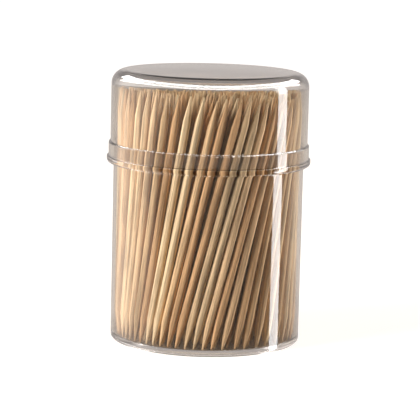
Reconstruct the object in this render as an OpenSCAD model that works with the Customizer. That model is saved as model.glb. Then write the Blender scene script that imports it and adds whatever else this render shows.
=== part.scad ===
// Round clear tub with a lift-off lid, filled with round toothpicks that stand in a twisted bundle.
// Millimetres. The tub stands on z = 0 with its axis on Z, and the front faces -Y.

/* [Tub] */
// Outer radius of the tub's wall
tub_r = 24.6; // [20:0.1:35]
// Height of the tub's mouth above its base
tub_h = 51.2; // [44:0.1:56]
// Thickness of the tub's wall
tub_wall = 0.8; // [0.6:0.1:1.6]
// Thickness of the tub's floor
floor_t = 1.2; // [0.8:0.1:2]
// Height of the foot ring under the floor
foot_h = 0.4; // [0.2:0.1:1]
// Width of the foot ring's flat face, beside the rounded heel
foot_w = 1.2; // [0.8:0.1:2.5]
// Rounding of the heel
heel_round = 0.9; // [0.3:0.1:1]
// Rounding between the wall and the floor, inside
floor_fillet = 0.4; // [0.2:0.1:0.5]
// Rounding of the mouth's outer edge
mouth_round = 0.4; // [0.2:0.1:0.6]

/* [Ledge] */
// How far the ledge stands out from the tub's wall
ledge_w = 1.8; // [1.4:0.1:3]
// Thickness of the ledge
ledge_t = 1.6; // [1:0.1:2.5]
// Rounding of the ledge's lower edge
ledge_round = 0.9; // [0.3:0.1:0.9]
// Fillet between the ledge's underside and the wall
ledge_fillet = 0.5; // [0.2:0.1:0.8]

/* [Lid] */
// Length of tub that stands inside the lid, above the ledge
lid_overlap = 3.5; // [2.5:0.1:6]
// Clearance between the tub's wall and the lid
lid_fit = 0.15; // [0.1:0.01:0.3]
// Thickness of the lid's skirt
skirt_wall = 1.2; // [1:0.05:1.5]
// How far the skirt runs up past the tub's mouth
skirt_over = 0.3; // [0:0.1:2]
// Thickness of the lid's wall above the skirt
lid_wall = 0.75; // [0.6:0.05:0.9]
// Thickness of the lid's top
lid_top_t = 1.0; // [0.8:0.1:1.6]
// Rounding of the lid's shoulder, outside
shoulder_round = 3.6; // [2.5:0.1:5]
// Rounding of the skirt's upper edge, outside
skirt_round = 0.3; // [0.1:0.1:0.4]
// Gap left where the lid's rim rests on the ledge
seat_gap = 0.05; // [0.02:0.01:0.1]
// Room between the middle toothpick's point and the lid's top
head_gap = 2.45; // [1:0.05:5]

/* [Toothpicks] */
// Thickness of a toothpick
pick_d = 2.0; // [1.8:0.1:2.4]
// Length of a toothpick
pick_len = 65; // [62:0.5:75]
// Length of each sharpened point
point_len = 6.5; // [4:0.5:9]
// Radius of a point's blunt end
point_r = 0.2; // [0.1:0.05:0.4]
// Lean of the outermost toothpicks on the side where they lean most, in degrees
lean = 14; // [2:0.5:15]
// Direction of that side, in degrees about the tub's axis; the opposite side is like it
lively_side = -78; // [-180:1:180]
// Share of the lean that is lost a quarter turn from there
calm = 0.65; // [0:0.05:0.8]
// Share by which a toothpick's lean may differ from its neighbours'
sway = 0.03; // [0:0.005:0.04]
// Clearance between neighbouring toothpicks
pick_gap = 0.06; // [0.06:0.01:0.15]
// Clearance between the outermost ring and the tub's wall
wall_gap = 0.1; // [0.08:0.01:0.4]
// Least clearance between the toothpicks and the lid's wall
lid_gap = 0.3; // [0.2:0.05:0.6]
// Clearance between the lower points and the floor
tip_gap = 0.05; // [0.05:0.01:0.3]
// Greatest shortfall of an ordinary toothpick
uneven = 1.0; // [0:0.1:2]
// Shortfall of a short toothpick
short_by = 3.6; // [2:0.1:6]
// Share of the toothpicks that are short
short_share = 0.05; // [0:0.01:0.2]
// Seed of the bundle's unevenness
seed = 7; // [1:1:99]

/* [Hidden] */
// Overshoot of a cut past the face that it opens
cut = 0.1;
// Facets of a drawn circle
$fn = 72;

floor_top = foot_h + floor_t;
ledge_top = tub_h - lid_overlap;
rim_z = ledge_top + seat_gap;
lid_in = tub_r + lid_fit;
lid_out = lid_in + lid_wall;
skirt_out = lid_in + skirt_wall;
skirt_top = tub_h + skirt_over;
tip_z = floor_top + tip_gap;
lid_under = tip_z + pick_len + head_gap;
lid_top = lid_under + lid_top_t;

pick_r = pick_d / 2;
// Heights between which a toothpick has its full thickness
full_low = tip_z + point_len;
full_high = tip_z + pick_len - point_len;
// The twisted bundle is narrowest midway along the stretch that full thickness and the tub's wall share
waist_z = (full_low + tub_h) / 2;
wall_reach = tub_h - waist_z;
lid_reach = full_high - waist_z;
// Greatest radius of a toothpick's axis at the ends of those two reaches
wall_axis_r = tub_r - tub_wall - wall_gap - pick_r;
lid_axis_r = lid_in - lid_gap - pick_r;

// Slope of an outermost toothpick at an angle about the axis, sideways per unit of height, for a share of the usual
function outer_slope(angle, share) = share * tan(lean) * (1 - calm * pow(sin(angle - lively_side), 2));

// Radius of an outermost axis at a height from the waist, as wide as the tub's wall and the lid's let it be
function outer_r(slope, height) =
    let(waist_square = min(pow(wall_axis_r, 2) - pow(slope * wall_reach, 2),
                           pow(lid_axis_r, 2) - pow(slope * lid_reach, 2)))
    sqrt(waist_square + pow(slope * height, 2));

// How many rings stay clear of each other at a height from the waist, where neighbours lean most and differ most
function rings_that_fit(height) =
    let(steep = outer_r(tan(lean) * (1 + sway), height), shallow = outer_r(tan(lean) * (1 - sway), height))
    max(steep, shallow) / (pick_d + pick_gap + abs(steep - shallow));
ring_count = floor(min(rings_that_fit(0), rings_that_fit(lid_reach)));

function ring_name(k) = str("toothpick_ring_", k);

// Ring k's share of what the outermost ring measures: the bundle is alike all through, only smaller
function ring_share(k) = k / ring_count;

// Angle between two neighbours of ring k, of outer slopes a and b, that touch where they come closest, but for the
// clearance
function ring_step(k, a, b) =
    let(steepest = ring_share(k) * max(a, b),
        wedge = ring_share(k) * max((a - b) * lid_reach, (b - a) * wall_reach),
        spacing = (pick_d + pick_gap) / cos(atan(steepest)) + wedge)
    2 * asin(min(1, spacing / (2 * ring_share(k) * outer_r(max(a, b), 0))));

// Angle and outer slope of each of as many toothpicks as go round ring k
function packed_ring(k, shares) =
    let(first = outer_slope(0, shares[0]))
    [for (i = 0, angle = 0, slope = first, next = 0;
          i < len(shares) - 1 && angle + ring_step(k, slope, first) <= 360;
          next = outer_slope(angle + ring_step(k, slope, slope), shares[i + 1]),
          angle = angle + ring_step(k, slope, next), slope = next, i = i + 1) [angle, slope]];

// The sliver between a square corner at the origin, with its material below and to the left, and its rounding
module corner(r, past = cut) {
    difference() {
        translate([-r, -r]) square(r + past);
        translate([-r, -r]) circle(r);
    }
}

// The space inside a wall of radius r, from low to high, with its lower or upper corner rounded
module inside(r, low, high, low_round = 0, high_round = 0) {
    difference() {
        translate([0, low]) square([r, high - low]);
        if (low_round > 0) translate([r, low]) mirror([0, 1]) corner(low_round);
        if (high_round > 0) translate([r, high]) corner(high_round);
    }
}

module tub() {
    color([0.86, 0.88, 0.9, 0.4])
    rotate_extrude() {
        difference() {
            union() {
                square([tub_r, tub_h]);
                translate([0, ledge_top - ledge_t]) square([tub_r + ledge_w, ledge_t]);
                translate([tub_r, ledge_top - ledge_t]) rotate(90) corner(ledge_fillet, 0);
            }
            inside(tub_r - tub_wall, floor_top, tub_h + cut, low_round = floor_fillet);
            translate([0, -cut]) square([tub_r - heel_round - foot_w, foot_h + cut]);
            translate([tub_r, 0]) mirror([0, 1]) corner(heel_round);
            translate([tub_r, tub_h]) corner(mouth_round);
            translate([tub_r + ledge_w, ledge_top - ledge_t]) mirror([0, 1]) corner(ledge_round);
        }
    }
}

module lid() {
    color([0.86, 0.88, 0.9, 0.4])
    rotate_extrude() {
        difference() {
            union() {
                translate([0, rim_z]) square([lid_out, lid_top - rim_z]);
                translate([0, rim_z]) square([skirt_out, skirt_top - rim_z]);
            }
            inside(lid_in, rim_z - cut, lid_under, high_round = shoulder_round - lid_wall);
            translate([lid_out, lid_top]) corner(shoulder_round);
            translate([skirt_out, skirt_top]) corner(skirt_round);
        }
    }
}

// One toothpick, upright on its lower point
module toothpick(length) {
    rotate_extrude()
        polygon([
            [0, 0], [point_r, 0], [pick_r, point_len],
            [pick_r, length - point_len], [point_r, length], [0, length]
        ]);
}

module middle_toothpick() {
    color("burlywood") translate([0, 0, tip_z]) toothpick(pick_len);
}

// Each toothpick of ring k crosses the waist at its ring's radius and leans sideways, along the ring
module toothpick_ring(k) {
    most = ceil(2 * PI * ring_share(k) * wall_axis_r / pick_d);
    ring = packed_ring(k, rands(1 - sway, 1 + sway, most, seed + k));
    last = len(ring) - 1;
    loosen = 360 / (ring[last][0] + ring_step(k, ring[last][1], ring[0][1]));
    lengths = rands(0, 1, last + 1, seed + 100 + k);
    color("burlywood")
    for (i = [0:last]) {
        slope = ring[i][1];
        tilt = atan(ring_share(k) * slope);
        shortfall = lengths[i] > 1 - short_share ? short_by : lengths[i] * uneven;
        to_point = (waist_z - tip_z - point_r * sin(tilt)) / cos(tilt);
        rotate([0, 0, ring[i][0] * loosen])
            translate([ring_share(k) * outer_r(slope, 0), 0, waist_z])
                rotate([-tilt, 0, 0])
                    translate([0, 0, -to_point])
                        toothpick(pick_len - shortfall);
    }
}

tub();
lid();
middle_toothpick();
for (k = [1:ring_count])
    toothpick_ring(k);
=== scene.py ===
"""Clear round tub with a lift-off lid, full of round toothpicks, in soft studio light on a white ground."""

import math

import bpy
import numpy as np
from mathutils import Matrix, Vector


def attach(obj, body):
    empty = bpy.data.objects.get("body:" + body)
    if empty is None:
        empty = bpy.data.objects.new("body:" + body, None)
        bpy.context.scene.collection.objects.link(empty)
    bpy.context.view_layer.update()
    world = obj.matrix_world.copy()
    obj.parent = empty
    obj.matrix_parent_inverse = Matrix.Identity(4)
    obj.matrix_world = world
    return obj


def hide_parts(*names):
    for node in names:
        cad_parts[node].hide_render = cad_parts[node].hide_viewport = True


MM = 0.001

# Camera, as fitted to the outlines of the tub and lid, with its angles in degrees
PICTURE_PX = 420
FOCAL_PX = 2073.5
SENSOR_MM = 36.0
CAMERA_DISTANCE = 539.3 * MM
CAMERA_ELEVATION = 8.64
CAMERA_ROLL = 1.42
LOOK_AT_Z = 36.75 * MM
LOOK_AT_PX = (207.6, 198.4)

# Toothpicks, as redrawn round the axes of the frame's own
PICK_SIDES = 10
POINT_LENGTH = 6.5 * MM
POINT_RADIUS = 0.2 * MM
PICK_RADIUS = 1.0 * MM
# Where a point has its rings of vertices, as shares of its length
POINT_STATIONS = (0.0, 0.3, 0.65, 1.0)
# Power of that share which a point's radius follows: under 1 it bulges
POINT_SWELL = 0.86
# The thinnest that a ring may be drawn, as a share of its full radius
THINNEST = 0.975
# Vertices of a CAD node that are closer than this are one
WELD = 0.001 * MM
# Vertices within this height of a CAD toothpick's lowest or highest one belong to its end
END_DEPTH = 0.5 * MM

# Wood: how many cells of noise there are round a toothpick and along a metre of it
FIBRE_SCALE = (11.0, 50.0, 1.0)
PATCH_SCALE = (1.6, 60.0, 1.0)

# Strengths of the room's lights and of the floor's own, where 1 is white
FILL = 0.03
FLOOR_LIFT = 0.83
FLOOR_LIFT_IN_PLASTIC = 0.34
GREY_HORIZON = 0.6
DARK_CEILING = 0.34
DARK_FRONT = 0.02
LEFT_GLOW = 1.3
CURVED_LIGHT = 16.0
UPRIGHT_LIGHT = 9.5

# Colours of light and of the floor's card
WHITE = (1.0, 1.0, 1.0, 1.0)
FILL_TINT = (1.0, 0.9, 0.76, 1.0)
MIRRORED_TINT = (1.0, 0.93, 0.90, 1.0)
FLOOR_TINT_IN_PLASTIC = (1.0, 0.92, 0.84, 1.0)
CARD = (0.50, 0.43, 0.35, 1.0)

# The ground: half its width, its level, and the distances from the axis between which it brightens, as the plastic
# shows it and far off
GROUND_HALF = 6.0
GROUND_LEVEL = -0.05 * MM
# Inside these distances the plastic shows the ground dark: a painted shadow under the tub
PAINTED_SHADOW_FADE = (22 * MM, 30 * MM)
FAR_OFF = (0.3, 1.2)

# The upright light: its azimuth in degrees, and how far from its middle line its edges start and end
UPRIGHT_AZIMUTH = 93.2
UPRIGHT_EDGE = (0.12, 0.135)

# Lamps: name, azimuth and elevation in degrees, distance, width and height in metres, and brightness
LAMPS = (
    ("left key", -84, 10, 0.70, 0.36, 0.5, 3.5),
    ("left front", -58, 12, 0.70, 0.30, 0.4, 20.0),
    ("right strip", 98, 4, 0.60, 0.14, 0.5, 34.0),
)

# Seed of the toothpicks' chance differences
SEED = 11

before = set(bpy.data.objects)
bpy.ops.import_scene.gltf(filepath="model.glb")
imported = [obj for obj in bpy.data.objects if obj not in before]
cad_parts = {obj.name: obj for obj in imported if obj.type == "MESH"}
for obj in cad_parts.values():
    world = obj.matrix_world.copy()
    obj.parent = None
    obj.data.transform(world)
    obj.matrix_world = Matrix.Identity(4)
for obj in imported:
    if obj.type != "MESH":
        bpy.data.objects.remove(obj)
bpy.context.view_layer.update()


# Shader building

class Signal:
    """A shader socket that arithmetic works on: each operator adds the Math node that it stands for."""

    def __init__(self, recipe, socket):
        self.recipe = recipe
        self.socket = socket

    def maths(self, operation, first, second=None):
        values = {0: first} if second is None else {0: first, 1: second}
        return self.recipe.node("ShaderNodeMath", {"operation": operation}, values)

    def __add__(self, other):
        return self.maths("ADD", self, other)

    __radd__ = __add__

    def __sub__(self, other):
        return self.maths("SUBTRACT", self, other)

    def __rsub__(self, other):
        return self.maths("SUBTRACT", other, self)

    def __mul__(self, other):
        return self.maths("MULTIPLY", self, other)

    __rmul__ = __mul__

    def __pow__(self, power):
        return self.maths("POWER", self, power)

    def at_least(self, other):
        return self.maths("MAXIMUM", self, other)

    def rises(self, low, high):
        """0 where the signal is under low, 1 over high and smooth between."""
        return self.recipe.node("ShaderNodeMapRange", {"interpolation_type": "SMOOTHSTEP"},
                                {"Value": self, "From Min": low, "From Max": high})

    def falls(self, low, high):
        return 1 - self.rises(low, high)

    def dot(self, direction):
        return self.recipe.node("ShaderNodeVectorMath", {"operation": "DOT_PRODUCT"},
                                {0: self, 1: direction}, "Value")


class Recipe:
    """The node tree of one material or of the world."""

    def __init__(self, name=None, world=None):
        self.owner = world or bpy.data.materials.new(name)
        self.owner.use_nodes = True
        self.tree = self.owner.node_tree
        self.tree.nodes.clear()

    def node(self, kind, settings=None, values=None, out=0):
        """Adds a node of a kind: its settings first, then the values or links of its sockets, by name or number."""
        node = self.tree.nodes.new(kind)
        for key, setting in (settings or {}).items():
            if key == "stops":
                self.fill_ramp(node.color_ramp, setting)
            else:
                setattr(node, key, setting)
        for key, value in (values or {}).items():
            if isinstance(value, Signal):
                self.tree.links.new(value.socket, node.inputs[key])
            else:
                node.inputs[key].default_value = value
        return Signal(self, node.outputs[out])

    @staticmethod
    def fill_ramp(ramp, stops):
        """Sets a colour ramp's stops, each a place and a colour."""
        while len(ramp.elements) < len(stops):
            ramp.elements.new(1.0)
        for element, (place, colour) in zip(ramp.elements, stops):
            element.position = place
            element.color = (*colour, 1.0)

    def surface(self, shader, target="ShaderNodeOutputMaterial"):
        """Ends the tree in a shader, and gives the material or world."""
        end = self.tree.nodes.new(target)
        self.tree.links.new(shader.socket, end.inputs["Surface"])
        return self.owner

    def texture(self, space="Object"):
        return self.node("ShaderNodeTexCoord", out=space)

    def rays(self, *kinds):
        """1 for light paths of any of these kinds, such as Camera or Glossy, and 0 for the rest."""
        total = 0.0
        for kind in kinds:
            total = self.node("ShaderNodeLightPath", out=f"Is {kind} Ray").at_least(total)
        return total


# Materials

def tint(red, green, blue):
    """A colour given as it looks on a screen, from 0 to 255, turned into the shader's linear values."""
    return tuple(((c / 255 + 0.055) / 1.055) ** 2.4 for c in (red, green, blue))


def clear_plastic():
    """Moulded clear plastic: smooth, with faint flow marks. The light of lamps and of matt surfaces passes straight
    through."""
    made = Recipe("clear plastic")
    place = made.texture()
    flow = made.node("ShaderNodeTexNoise", None, {"Vector": place, "Scale": 70.0, "Detail": 3.0}, "Fac")
    haze = made.node("ShaderNodeTexNoise", None, {"Vector": place, "Scale": 900.0, "Detail": 2.0}, "Fac")
    bump = made.node("ShaderNodeBump", None, {"Height": flow, "Strength": 0.06, "Distance": 0.3 * MM})
    glass = made.node("ShaderNodeBsdfPrincipled", None, {
        "Base Color": (0.80, 0.77, 0.745, 1.0),
        "Roughness": 0.015 + haze * 0.03,
        "IOR": 1.57,
        "Transmission Weight": 1.0,
        "Normal": bump,
    })
    straight = made.rays("Shadow", "Diffuse")
    passing = made.node("ShaderNodeBsdfTransparent", None, {"Color": (0.96, 0.96, 0.965, 1.0)})
    return made.surface(made.node("ShaderNodeMixShader", None, {0: straight, 1: glass, 2: passing}))


def toothpick_wood():
    """Pale sawn wood: each toothpick has its own shade, with fine fibres along it and slow changes down its length."""
    made = Recipe("toothpick wood")
    tone = made.node("ShaderNodeAttribute", {"attribute_name": "tone"}, None, "Fac")
    light = made.node("ShaderNodeAttribute", {"attribute_name": "lightness"}, None, "Fac")
    along = made.node("ShaderNodeUVMap", {"uv_map": "fibre"}, None, "UV")
    fibre_place = made.node("ShaderNodeMapping", None, {"Vector": along, "Scale": FIBRE_SCALE})
    fibres = made.node("ShaderNodeTexNoise", {"noise_dimensions": "2D"},
                       {"Vector": fibre_place, "Scale": 1.0, "Detail": 3.0, "Roughness": 0.6}, "Fac")
    patch_place = made.node("ShaderNodeMapping", None, {"Vector": along, "Scale": PATCH_SCALE})
    patches = made.node("ShaderNodeTexNoise", {"noise_dimensions": "2D"},
                        {"Vector": patch_place, "Scale": 1.0, "Detail": 2.0}, "Fac")
    shade = made.node("ShaderNodeValToRGB", {"stops": [
        (0.0, tint(240, 214, 172)),
        (0.3, tint(236, 203, 158)),
        (0.5, tint(232, 192, 150)),
        (0.68, tint(224, 190, 144)),
        (0.84, tint(216, 174, 128)),
        (1.0, tint(198, 156, 110)),
    ]}, {"Fac": tone}, "Color")
    lines = fibres.rises(0.38, 0.58)
    brightness = (light * 0.3 + 0.8) * (0.54 + lines * 0.5 + patches * 0.24)
    toned = made.node("ShaderNodeVectorMath", {"operation": "SCALE"}, {0: shade, "Scale": brightness})
    bump = made.node("ShaderNodeBump", None, {"Height": fibres, "Strength": 0.5, "Distance": 0.08 * MM})
    wood = made.node("ShaderNodeBsdfPrincipled", None, {
        "Base Color": toned,
        "Roughness": 0.55 + fibres * 0.25,
        "Specular IOR Level": 0.0,
        "Normal": bump,
    })
    return made.surface(wood)


def white_ground():
    """Matt card that takes the tub's shadow. It also shines: towards the camera, which sees it white with the shadow
    faint on it, and more weakly through the plastic, but not under the tub, where that leaves a painted shadow."""
    made = Recipe("white ground")
    place = made.texture()
    grain = made.node("ShaderNodeTexNoise", None, {"Vector": place, "Scale": 300.0}, "Fac")
    card = made.node("ShaderNodeBsdfDiffuse", None, {"Color": CARD, "Roughness": 0.4 + grain * 0.2})
    from_axis = made.node("ShaderNodeVectorMath", {"operation": "LENGTH"}, {0: place}, "Value")
    # Through the plastic the card does not shine near the tub's foot: the dark there is a painted shadow
    in_plastic = made.rays("Transmission") * from_axis.rises(*PAINTED_SHADOW_FADE) * FLOOR_LIFT_IN_PLASTIC
    seen = made.rays("Camera")
    # Far off, where no lamp lights the card, it is white by itself
    lifted = FLOOR_LIFT + from_axis.rises(*FAR_OFF) * (1 - FLOOR_LIFT)
    colour = made.node("ShaderNodeMixRGB", None, {0: seen, 1: FLOOR_TINT_IN_PLASTIC, 2: WHITE})
    lift = made.node("ShaderNodeEmission", None, {"Color": colour, "Strength": seen * lifted + in_plastic})
    return made.surface(made.node("ShaderNodeAddShader", None, {0: card, 1: lift}))


# Toothpicks

def loose_solids(mesh):
    """The vertex positions of a mesh of loose triangles, with a number for each vertex that says which solid it is in:
    vertices at one place are one, and each triangle hands its lowest number on until nothing changes."""
    mesh.calc_loop_triangles()
    corners = np.empty(len(mesh.loop_triangles) * 3, np.int64)
    mesh.loop_triangles.foreach_get("vertices", corners)
    flat = np.empty(len(mesh.vertices) * 3, np.float32)
    mesh.vertices.foreach_get("co", flat)
    grid = np.round(flat.reshape(-1, 3) / WELD).astype(np.int64)
    places, same = np.unique(grid, axis=0, return_inverse=True)
    triangles = same.ravel()[corners].reshape(-1, 3)
    label = np.arange(len(places))
    while True:
        lowest = label[triangles].min(axis=1)
        new = label.copy()
        np.minimum.at(new, triangles.ravel(), np.repeat(lowest, 3))
        if (new == label).all():
            return places * WELD, np.unique(label, return_inverse=True)[1].ravel()
        label = new


def pick_axes(node):
    """The middles of the lower and upper blunt ends of each toothpick in a CAD node: the mean of an end's vertices."""
    points, solid = loose_solids(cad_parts[node].data)
    count = solid.max() + 1
    height = points[:, 2]
    low, high = np.full(count, np.inf), np.full(count, -np.inf)
    np.minimum.at(low, solid, height)
    np.maximum.at(high, solid, height)
    ends = []
    for near in (height < low[solid] + END_DEPTH, height > high[solid] - END_DEPTH):
        total = np.zeros((count, 3))
        np.add.at(total, solid[near], points[near])
        ends.append(total / np.bincount(solid[near], minlength=count)[:, None])
    return ends


def toothpick_stations(length):
    """Distances from the lower point and the radii there, one row for each toothpick: both points follow
    radius = tip + (full - tip) * share ** swell, a line that bulges a little, and the stretch between is straight."""
    share = np.array(POINT_STATIONS)
    point = POINT_RADIUS + (PICK_RADIUS - POINT_RADIUS) * share ** POINT_SWELL
    lower = np.tile(share * POINT_LENGTH, (len(length), 1))
    upper = length[:, None] - lower[:, ::-1]
    middle = length[:, None] / 2
    return np.hstack([lower, middle, upper]), np.concatenate([point, [PICK_RADIUS], point[::-1]])


def bundle_points(lower, upper, draw):
    """The vertices of a bundle, one row for each toothpick, then the stations and the toothpicks' lengths. A toothpick
    is its axis plus radius * (cos a, sin a) across it, over a grid of stations along it and angles a round it, and
    after the grid comes the middle of each end. By chance each ring but the end ones is a little thinner."""
    run = upper - lower
    length = np.linalg.norm(run, axis=1)
    axis = run / length[:, None]
    across = np.cross(axis, [0.0, 1.0, 0.0])
    across /= np.linalg.norm(across, axis=1)[:, None]
    beside = np.cross(axis, across)

    stations, radii = toothpick_stations(length)
    count, rows = stations.shape
    girth = draw.uniform(THINNEST, 1.0, (count, rows))
    girth[:, [0, -1]] = 1.0
    turn = draw.uniform(0, 2 * math.pi, count)[:, None, None]
    angle = turn + np.arange(PICK_SIDES)[None, None, :] * (2 * math.pi / PICK_SIDES)
    reach = (radii[None, :] * girth)[:, :, None]
    centre = lower[:, None, :] + stations[:, :, None] * axis[:, None, :]
    ring = (
        centre[:, :, None, :]
        + (reach * np.cos(angle))[..., None] * across[:, None, None, :]
        + (reach * np.sin(angle))[..., None] * beside[:, None, None, :]
    )
    points = np.concatenate([ring.reshape(count, -1, 3), lower[:, None, :], upper[:, None, :]], axis=1)
    return points, stations, length


def bundle_faces(count, rows):
    """The faces of a bundle: the quads between neighbouring rings, and a fan of triangles over each end."""
    side = np.arange(PICK_SIDES)
    after = (side + 1) % PICK_SIDES
    ring = np.arange(rows - 1)[:, None] * PICK_SIDES
    above = ring + PICK_SIDES
    quads = np.stack([ring + side, ring + after, above + after, above + side], -1)
    top = (rows - 1) * PICK_SIDES
    lower_middle, upper_middle = rows * PICK_SIDES, rows * PICK_SIDES + 1
    lower_fan = np.stack([np.full(PICK_SIDES, lower_middle), after, side], -1)
    upper_fan = np.stack([np.full(PICK_SIDES, upper_middle), top + side, top + after], -1)
    shift = (np.arange(count) * (rows * PICK_SIDES + 2))[:, None, None]
    quads = (quads.reshape(1, -1, 4) + shift).reshape(-1, 4)
    fans = (np.concatenate([lower_fan, upper_fan])[None] + shift).reshape(-1, 3)
    return quads, fans


def add_fibre_map(mesh, quad_count, stations, length, draw):
    """The UV map that the fibres follow: turns round the toothpick, and metres along it, both from a chance start."""
    count, rows = stations.shape
    turns = np.concatenate([np.tile(np.arange(PICK_SIDES) / PICK_SIDES, rows), [0.5, 0.5]])
    turns = turns[None, :] + draw.uniform(0, 9, count)[:, None]
    along = np.concatenate([np.repeat(stations, PICK_SIDES, axis=1), np.zeros((count, 1)), length[:, None]], axis=1)
    along = along + draw.uniform(0, 1, count)[:, None]
    corners = np.empty(len(mesh.loops), np.int32)
    mesh.loops.foreach_get("vertex_index", corners)
    corner_uv = np.stack([turns.ravel(), along.ravel()], -1)[corners]
    # The quads that close a ring run on past one turn instead of back to its start
    quad_uv = corner_uv[:quad_count * 4].reshape(-1, 4, 2)
    closing = np.tile(np.arange(PICK_SIDES) == PICK_SIDES - 1, quad_count // PICK_SIDES)
    quad_uv[closing, 1, 0] += 1.0
    quad_uv[closing, 2, 0] += 1.0
    mesh.uv_layers.new(name="fibre").data.foreach_set("uv", corner_uv.astype(np.float32).ravel())


def toothpick_bundle(name, node, wood, draw):
    """All the toothpicks of one CAD node as one mesh, each with a tone and a lightness of its own."""
    lower, upper = pick_axes(node)
    points, stations, length = bundle_points(lower, upper, draw)
    count, each = points.shape[:2]
    quads, fans = bundle_faces(count, stations.shape[1])
    mesh = bpy.data.meshes.new(name)
    mesh.from_pydata(points.reshape(-1, 3), [], quads.tolist() + fans.tolist())
    for key in ("tone", "lightness"):
        values = np.repeat(draw.uniform(0, 1, count), each)
        mesh.attributes.new(key, "FLOAT", "POINT").data.foreach_set("value", values.astype(np.float32))
    add_fibre_map(mesh, len(quads), stations, length, draw)
    mesh.polygons.foreach_set("use_smooth", np.arange(len(mesh.polygons)) < len(quads))
    mesh.materials.append(wood)
    mesh.update()
    piece = bpy.data.objects.new(name, mesh)
    bpy.context.scene.collection.objects.link(piece)
    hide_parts(node)
    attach(piece, "tub")


# Studio

def aim(place, target, roll=0.0):
    """A matrix at a place, looking at a target, turned by roll degrees about its own line of sight."""
    look = (Vector(target) - Vector(place)).to_track_quat("-Z", "Y").to_matrix().to_4x4()
    return Matrix.Translation(place) @ look @ Matrix.Rotation(math.radians(roll), 4, "Z")


def around(azimuth, elevation, distance, target=(0.0, 0.0, LOOK_AT_Z)):
    """A place at a distance from a target: azimuth 0 is on the camera's side and 90 to its right."""
    a, e = math.radians(azimuth), math.radians(elevation)
    step = Vector((math.sin(a) * math.cos(e), -math.cos(a) * math.cos(e), math.sin(e)))
    return Vector(target) + step * distance


def softbox(name, azimuth, elevation, distance, width, height, brightness):
    """A rectangular white lamp of a brightness, as seen from the tub, where 1 is white. It lights matt surfaces only:
    the plastic mirrors the lights of the room instead."""
    lamp = bpy.data.lights.new(name, "AREA")
    lamp.shape = "RECTANGLE"
    lamp.size, lamp.size_y = width, height
    lamp.energy = brightness * math.pi * width * height
    place = bpy.data.objects.new(name, lamp)
    place.matrix_world = aim(around(azimuth, elevation, distance), (0.0, 0.0, LOOK_AT_Z))
    place.visible_camera = place.visible_glossy = place.visible_transmission = False
    bpy.context.scene.collection.objects.link(place)


def set_camera():
    """The fitted camera: its picture's middle is moved off the tub, as in the photograph's framing."""
    camera = bpy.data.cameras.new("camera")
    camera.sensor_width = SENSOR_MM
    camera.lens = FOCAL_PX * SENSOR_MM / PICTURE_PX
    camera.shift_x = (PICTURE_PX / 2 - LOOK_AT_PX[0]) / PICTURE_PX
    camera.shift_y = (LOOK_AT_PX[1] - PICTURE_PX / 2) / PICTURE_PX
    camera.clip_start, camera.clip_end = 0.01, 20.0
    stand = bpy.data.objects.new("camera", camera)
    stand.matrix_world = aim(around(0, CAMERA_ELEVATION, CAMERA_DISTANCE), (0.0, 0.0, LOOK_AT_Z), CAMERA_ROLL)
    bpy.context.scene.collection.objects.link(stand)
    bpy.context.scene.camera = stand


def lay_ground():
    """A sheet that runs far behind the tub, so that no edge shows."""
    corners = [(x * GROUND_HALF, y * GROUND_HALF, GROUND_LEVEL) for x, y in ((-1, -1), (1, -1), (1, 1), (-1, 1))]
    mesh = bpy.data.meshes.new("ground")
    mesh.from_pydata(corners, [], [(0, 1, 2, 3)])
    mesh.materials.append(white_ground())
    ground = bpy.data.objects.new("ground", mesh)
    bpy.context.scene.collection.objects.link(ground)
    # The upright light that the walls mirror stands partly below the ground
    ground.visible_glossy = False


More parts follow.
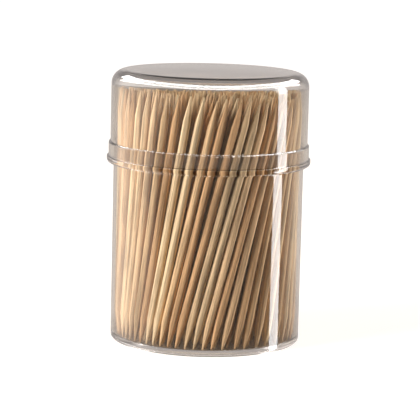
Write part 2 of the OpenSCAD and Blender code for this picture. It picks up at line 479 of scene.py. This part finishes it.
def set_world():
    """A white room: pure white to the camera and through the plastic, with a dim warm fill for matt surfaces. The
    plastic mirrors a room with lights of its own: grey at the back, dark in front, with a glow at the left, a bent
    strip of light overhead and an upright light at the right."""
    world = bpy.data.worlds.new("white room")
    bpy.context.scene.world = world
    world.cycles.sampling_method = "NONE"
    made = Recipe(world=world)
    way = made.texture("Generated")
    left, back, up = way.dot((-1.0, 0.0, 0.0)), way.dot((0.0, 1.0, 0.0)), way.dot((0.0, 0.0, 1.0))

    low = DARK_FRONT + back.rises(-0.3, 0.8) * (GREY_HORIZON - DARK_FRONT)
    room = DARK_CEILING + up.falls(0.18, 0.34) * (low - DARK_CEILING)
    glow = left.rises(0.3, 0.6) * back.rises(-0.6, -0.2) * back.falls(0.4, 0.85) * up.falls(0.3, 0.6)

    # The strip is about 55 degrees up in front and 50 at the sides, and comes down towards its ends at the back: the
    # lid's shoulder mirrors it as one thin line
    bend = up + back * 0.25 + back ** 2 * 0.267
    strip = bend.rises(0.67, 0.70) * bend.falls(0.83, 0.86) * back.falls(0.74, 0.8)

    azimuth = math.radians(UPRIGHT_AZIMUTH)
    towards = way.dot((math.sin(azimuth), -math.cos(azimuth), 0.0)).rises(0.3, 0.4)
    aside = way.dot((math.cos(azimuth), math.sin(azimuth), 0.0))
    inner, outer = UPRIGHT_EDGE
    upright = towards * aside.rises(-outer, -inner) * aside.falls(inner, outer)
    upright = upright * up.rises(-0.62, -0.5) * up.falls(0.40, 0.46)
    mirrored = room + glow * LEFT_GLOW + strip * CURVED_LIGHT + upright * UPRIGHT_LIGHT

    # A path that was mirrored anywhere on its way, also inside the plastic, sees the room with its lights
    diffuse = made.rays("Diffuse")
    glossy = made.node("ShaderNodeLightPath", out="Glossy Depth").rises(0.2, 0.8) * (1 - diffuse)
    strength = glossy * mirrored + diffuse * FILL + (1 - glossy) * (1 - diffuse)
    unlit = glossy * (1 - strip.at_least(upright))
    colour = made.node("ShaderNodeMixRGB", None, {0: unlit, 1: WHITE, 2: MIRRORED_TINT})
    colour = made.node("ShaderNodeMixRGB", None, {0: diffuse, 1: colour, 2: FILL_TINT})
    made.surface(made.node("ShaderNodeBackground", None, {"Color": colour, "Strength": strength}),
                 "ShaderNodeOutputWorld")


scene = bpy.context.scene
scene.view_settings.view_transform = "Standard"
# Light turns back and forth many times inside the rims of the clear plastic
scene.cycles.max_bounces = 24
scene.cycles.glossy_bounces = 16
scene.cycles.transmission_bounces = 20
scene.cycles.transparent_max_bounces = 24

set_camera()
set_world()
lay_ground()
for lamp_values in LAMPS:
    softbox(*lamp_values)

wood = toothpick_wood()
plastic = clear_plastic()
draws = np.random.default_rng(SEED)
for node_name, node_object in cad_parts.items():
    if "toothpick" in node_name:
        toothpick_bundle(node_name + "_wood", node_name, wood, draws)
    else:
        node_object.data.materials.clear()
        node_object.data.materials.append(plastic)
